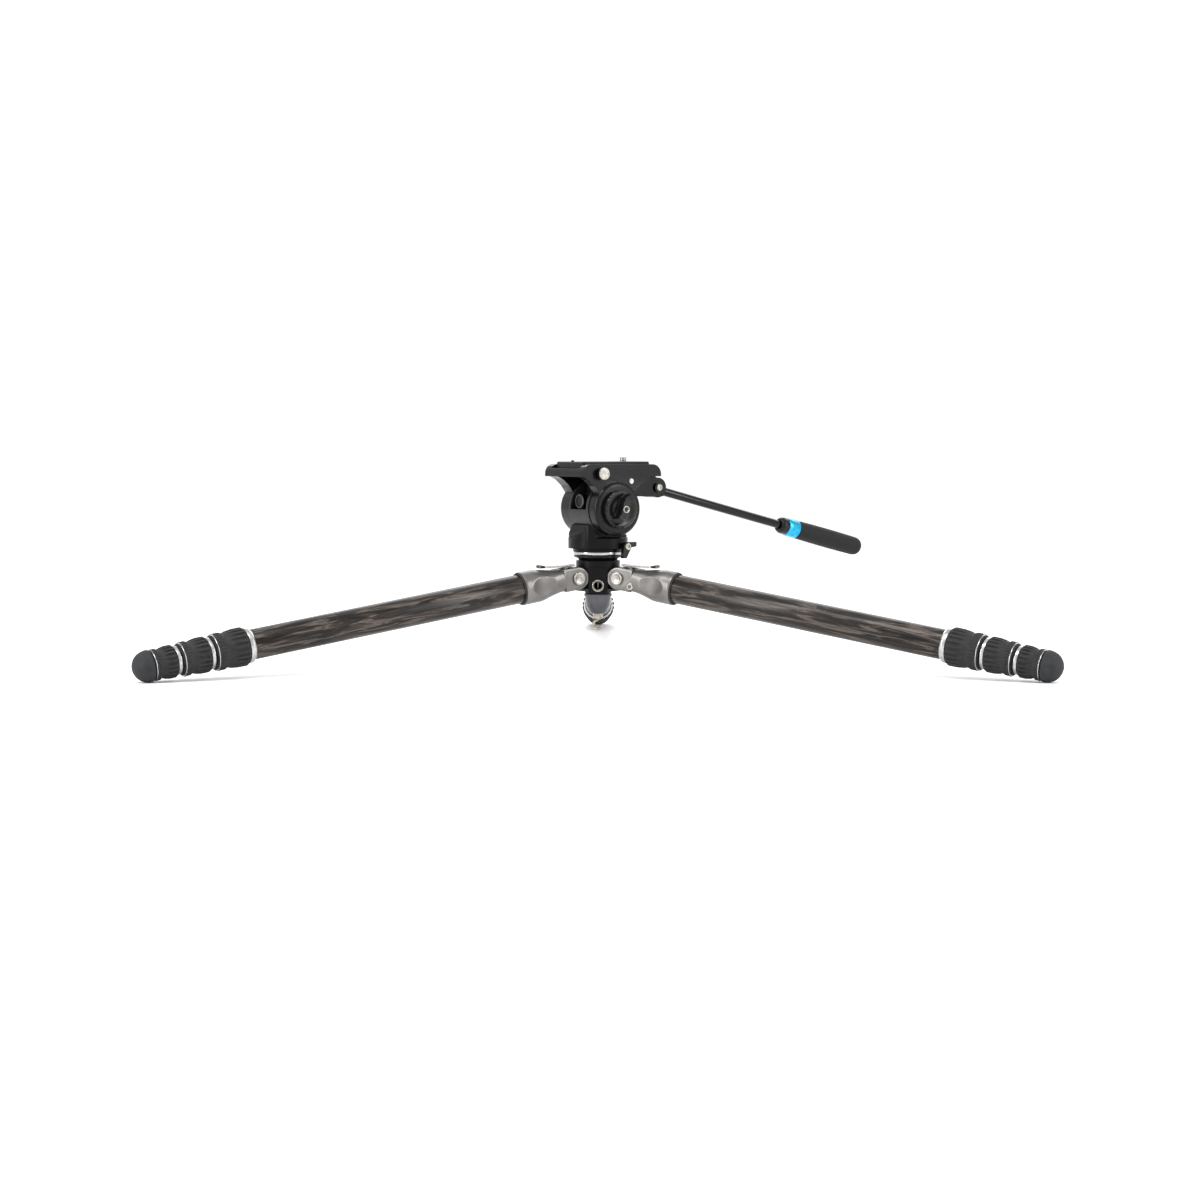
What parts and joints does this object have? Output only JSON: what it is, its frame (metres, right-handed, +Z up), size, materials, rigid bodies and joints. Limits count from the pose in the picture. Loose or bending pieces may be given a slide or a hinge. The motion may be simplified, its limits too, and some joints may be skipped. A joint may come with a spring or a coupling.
{
  "type": "tripod with fluid head",
  "caption": "Columnless camera tripod with twist-lock legs splayed low, a levelling half ball and a compact fluid video head with a pan handle.",
  "frame": {"origin": "on the floor under the hub's vertical axis, where the tripod stands", "axes": "+Z up; +X to the right seen from the front, along the widest span of the two front legs; -Y is the front"},
  "size_m": [0.8506, 0.7407, 0.2028],
  "materials": {
    "shoulder": "satin",
    "stop_metal": "brushed",
    "collar_metal": "bright",
    "foot_rubber": "matt",
    "carbon": "marbled carbon fibre under clear coat",
    "grip_rubber": "ribbed matt",
    "hub_black": "satin",
    "steel": "satin",
    "nylon": "plain",
    "head_black": "satin",
    "ring_metal": "turned",
    "knob_grey": "anodised",
    "hook_metal": "plain",
    "level_vial": "clear",
    "lever_black": "matt",
    "dial_metal": "satin",
    "drum_black": "satin",
    "knob_black": "satin",
    "plate_black": "hard anodised",
    "rod_black": "gloss",
    "blue_anodised": "anodised",
    "handle_rubber": "foam"
  },
  "bodies": {
    "hub": {"hub_casting": "hub_black", "pivot_bolts": "steel", "accessory_port": "steel"},
    "left_leg": {"shoulder_left": "shoulder", "tube_1_left": "carbon", "collar_left": "collar_metal"},
    "left_stop": {"angle_stop_left": "stop_metal"},
    "left_lock_1": {"grip_1_left": "grip_rubber"},
    "left_lock_2": {"grip_2_left": "grip_rubber"},
    "left_lock_3": {"grip_3_left": "grip_rubber"},
    "left_section_2": {"tube_2_left": "carbon"},
    "left_section_3": {"tube_3_left": "carbon"},
    "left_section_4": {"tube_4_left": "carbon", "foot_left": "foot_rubber"},
    "right_leg": {"shoulder_right": "shoulder", "tube_1_right": "carbon", "collar_right": "collar_metal"},
    "right_stop": {"angle_stop_right": "stop_metal"},
    "right_lock_1": {"grip_1_right": "grip_rubber"},
    "right_lock_2": {"grip_2_right": "grip_rubber"},
    "right_lock_3": {"grip_3_right": "grip_rubber"},
    "right_section_2": {"tube_2_right": "carbon"},
    "right_section_3": {"tube_3_right": "carbon"},
    "right_section_4": {"tube_4_right": "carbon", "foot_right": "foot_rubber"},
    "rear_leg": {"shoulder_rear": "shoulder", "tube_1_rear": "carbon", "collar_rear": "collar_metal"},
    "rear_stop": {"angle_stop_rear": "stop_metal"},
    "rear_lock_1": {"grip_1_rear": "grip_rubber"},
    "rear_lock_2": {"grip_2_rear": "grip_rubber"},
    "rear_lock_3": {"grip_3_rear": "grip_rubber"},
    "rear_section_2": {"tube_2_rear": "carbon"},
    "rear_section_3": {"tube_3_rear": "carbon"},
    "rear_section_4": {"tube_4_rear": "carbon", "foot_rear": "foot_rubber"},
    "liner": {"level_liner": "nylon"},
    "level_ball": {"level_ball": "head_black", "top_ring": "ring_metal", "draw_bolt": "steel", "head_stud": "steel", "pan_base": "head_black"},
    "clamp_knob": {"clamp_knob": "knob_grey"},
    "hook": {"hook": "hook_metal"},
    "pan": {"pan_body": "head_black", "drum": "drum_black", "tilt_axle": "steel", "spirit_level": "level_vial"},
    "pan_lock": {"pan_lock_lever": "lever_black"},
    "balance_dial": {"balance_dial": "dial_metal"},
    "cradle": {"cradle": "head_black"},
    "drag_knob": {"drag_knob": "knob_black"},
    "plate": {"quick_release_plate": "plate_black"},
    "camera_screw": {"camera_screw": "steel"},
    "plate_lock": {"plate_lock_screw": "steel"},
    "handle": {"handle_clamp": "head_black", "handle_rod": "rod_black", "handle_ring": "blue_anodised", "handle_grip": "handle_rubber"},
    "clamp_screw": {"clamp_screw": "steel"}
  },
  "joints": [
    {"name": "level_a", "type": "hinge", "parent": "hub", "child": "liner", "pos_m": [0, 0, 0.115], "axis": [0.9659, 0.2588, 0], "range_deg": [-5, 5]},
    {"name": "level_b", "type": "hinge", "parent": "liner", "child": "level_ball", "pos_m": [0, 0, 0.115], "axis": [-0.2588, 0.9659, 0], "range_deg": [-5, 5]},
    {"name": "clamp_knob_turn", "type": "hinge", "parent": "level_ball", "child": "clamp_knob", "pos_m": [0, 0, 0.055], "axis": [0, 0, 1], "range_deg": [0, 180]},
    {"name": "hook_swivel", "type": "hinge", "parent": "level_ball", "child": "hook", "pos_m": [0, 0, 0.044], "axis": [0, 0, 1], "continuous": true},
    {"name": "pan_turn", "type": "hinge", "parent": "level_ball", "child": "pan", "pos_m": [0, 0, 0.112], "axis": [0, 0, 1], "continuous": true},
    {"name": "pan_lock_turn", "type": "hinge", "parent": "pan", "child": "pan_lock", "pos_m": [0.02703, -0.01702, 0.1145], "axis": [0.5446, -0.8387, 0], "range_deg": [0, 70]},
    {"name": "tilt_turn", "type": "hinge", "parent": "pan", "child": "cradle", "pos_m": [0, 0, 0.152], "axis": [0.5446, -0.8387, 0], "range_deg": [-40, 75]},
    {"name": "balance_dial_turn", "type": "hinge", "parent": "pan", "child": "balance_dial", "pos_m": [-0.01507, -0.01718, 0.1596], "axis": [-0.8387, -0.5446, 0], "range_deg": [0, 270]},
    {"name": "drag_knob_turn", "type": "hinge", "parent": "pan", "child": "drag_knob", "pos_m": [0.0207, -0.03187, 0.152], "axis": [0.5446, -0.8387, 0], "range_deg": [0, 270]},
    {"name": "plate_slide", "type": "slide", "parent": "cradle", "child": "plate", "axis": [0.8387, 0.5446, 0], "range_m": [-0.012, 0.012]},
    {"name": "camera_screw_turn", "type": "hinge", "parent": "plate", "child": "camera_screw", "pos_m": [0.02516, 0.01634, 0.195], "axis": [0, 0, 1], "continuous": true},
    {"name": "plate_lock_turn", "type": "hinge", "parent": "cradle", "child": "plate_lock", "pos_m": [0.00367, -0.04054, 0.187], "axis": [0.5446, -0.8387, 0], "range_deg": [0, 180]},
    {"name": "handle_angle", "type": "hinge", "parent": "cradle", "child": "handle", "pos_m": [0.05076, 0.02283, 0.1725], "axis": [0.5446, -0.8387, 0], "range_deg": [-30, 60]},
    {"name": "handle_clamp_turn", "type": "hinge", "parent": "cradle", "child": "clamp_screw", "pos_m": [0.05702, 0.01318, 0.1725], "axis": [0.5446, -0.8387, 0], "range_deg": [0, 180]},
    {"name": "left_leg_fold", "type": "hinge", "parent": "hub", "child": "left_leg", "pos_m": [-0.02555, -0.01475, 0.083], "axis": [0.5, -0.866, 0], "range_deg": [0, 78]},
    {"name": "left_angle_stop_slide", "type": "slide", "parent": "left_leg", "child": "left_stop", "axis": [-0.8656, -0.4998, -0.0297], "range_m": [0, 0.006]},
    {"name": "left_twist_lock_1", "type": "hinge", "parent": "left_leg", "child": "left_lock_1", "pos_m": [-0.02555, -0.01475, 0.083], "axis": [-0.8561, -0.4942, -0.1513], "range_deg": [0, 90]},
    {"name": "left_slide_2", "type": "slide", "parent": "left_leg", "child": "left_section_2", "axis": [-0.8561, -0.4942, -0.1513], "range_m": [0, 0.25]},
    {"name": "left_twist_lock_2", "type": "hinge", "parent": "left_section_2", "child": "left_lock_2", "pos_m": [-0.02555, -0.01475, 0.083], "axis": [-0.8561, -0.4942, -0.1513], "range_deg": [0, 90]},
    {"name": "left_slide_3", "type": "slide", "parent": "left_section_2", "child": "left_section_3", "axis": [-0.8561, -0.4942, -0.1513], "range_m": [0, 0.25]},
    {"name": "left_twist_lock_3", "type": "hinge", "parent": "left_section_3", "child": "left_lock_3", "pos_m": [-0.02555, -0.01475, 0.083], "axis": [-0.8561, -0.4942, -0.1513], "range_deg": [0, 90]},
    {"name": "left_slide_4", "type": "slide", "parent": "left_section_3", "child": "left_section_4", "axis": [-0.8561, -0.4942, -0.1513], "range_m": [0, 0.25]},
    {"name": "right_leg_fold", "type": "hinge", "parent": "hub", "child": "right_leg", "pos_m": [0.02555, -0.01475, 0.083], "axis": [0.5, 0.866, 0], "range_deg": [0, 78]},
    {"name": "right_angle_stop_slide", "type": "slide", "parent": "right_leg", "child": "right_stop", "axis": [0.8656, -0.4998, -0.0297], "range_m": [0, 0.006]},
    {"name": "right_twist_lock_1", "type": "hinge", "parent": "right_leg", "child": "right_lock_1", "pos_m": [0.02555, -0.01475, 0.083], "axis": [0.8561, -0.4942, -0.1513], "range_deg": [0, 90]},
    {"name": "right_slide_2", "type": "slide", "parent": "right_leg", "child": "right_section_2", "axis": [0.8561, -0.4942, -0.1513], "range_m": [0, 0.25]},
    {"name": "right_twist_lock_2", "type": "hinge", "parent": "right_section_2", "child": "right_lock_2", "pos_m": [0.02555, -0.01475, 0.083], "axis": [0.8561, -0.4942, -0.1513], "range_deg": [0, 90]},
    {"name": "right_slide_3", "type": "slide", "parent": "right_section_2", "child": "right_section_3", "axis": [0.8561, -0.4942, -0.1513], "range_m": [0, 0.25]},
    {"name": "right_twist_lock_3", "type": "hinge", "parent": "right_section_3", "child": "right_lock_3", "pos_m": [0.02555, -0.01475, 0.083], "axis": [0.8561, -0.4942, -0.1513], "range_deg": [0, 90]},
    {"name": "right_slide_4", "type": "slide", "parent": "right_section_3", "child": "right_section_4", "axis": [0.8561, -0.4942, -0.1513], "range_m": [0, 0.25]},
    {"name": "rear_leg_fold", "type": "hinge", "parent": "hub", "child": "rear_leg", "pos_m": [0, 0.0295, 0.083], "axis": [-1, 0, 0], "range_deg": [0, 78]},
    {"name": "rear_angle_stop_slide", "type": "slide", "parent": "rear_leg", "child": "rear_stop", "axis": [0, 0.9996, -0.0297], "range_m": [0, 0.006]},
    {"name": "rear_twist_lock_1", "type": "hinge", "parent": "rear_leg", "child": "rear_lock_1", "pos_m": [0, 0.0295, 0.083], "axis": [0, 0.9885, -0.1513], "range_deg": [0, 90]},
    {"name": "rear_slide_2", "type": "slide", "parent": "rear_leg", "child": "rear_section_2", "axis": [0, 0.9885, -0.1513], "range_m": [0, 0.25]},
    {"name": "rear_twist_lock_2", "type": "hinge", "parent": "rear_section_2", "child": "rear_lock_2", "pos_m": [0, 0.0295, 0.083], "axis": [0, 0.9885, -0.1513], "range_deg": [0, 90]},
    {"name": "rear_slide_3", "type": "slide", "parent": "rear_section_2", "child": "rear_section_3", "axis": [0, 0.9885, -0.1513], "range_m": [0, 0.25]},
    {"name": "rear_twist_lock_3", "type": "hinge", "parent": "rear_section_3", "child": "rear_lock_3", "pos_m": [0, 0.0295, 0.083], "axis": [0, 0.9885, -0.1513], "range_deg": [0, 90]},
    {"name": "rear_slide_4", "type": "slide", "parent": "rear_section_3", "child": "rear_section_4", "axis": [0, 0.9885, -0.1513], "range_m": [0, 0.25]}
  ]
}
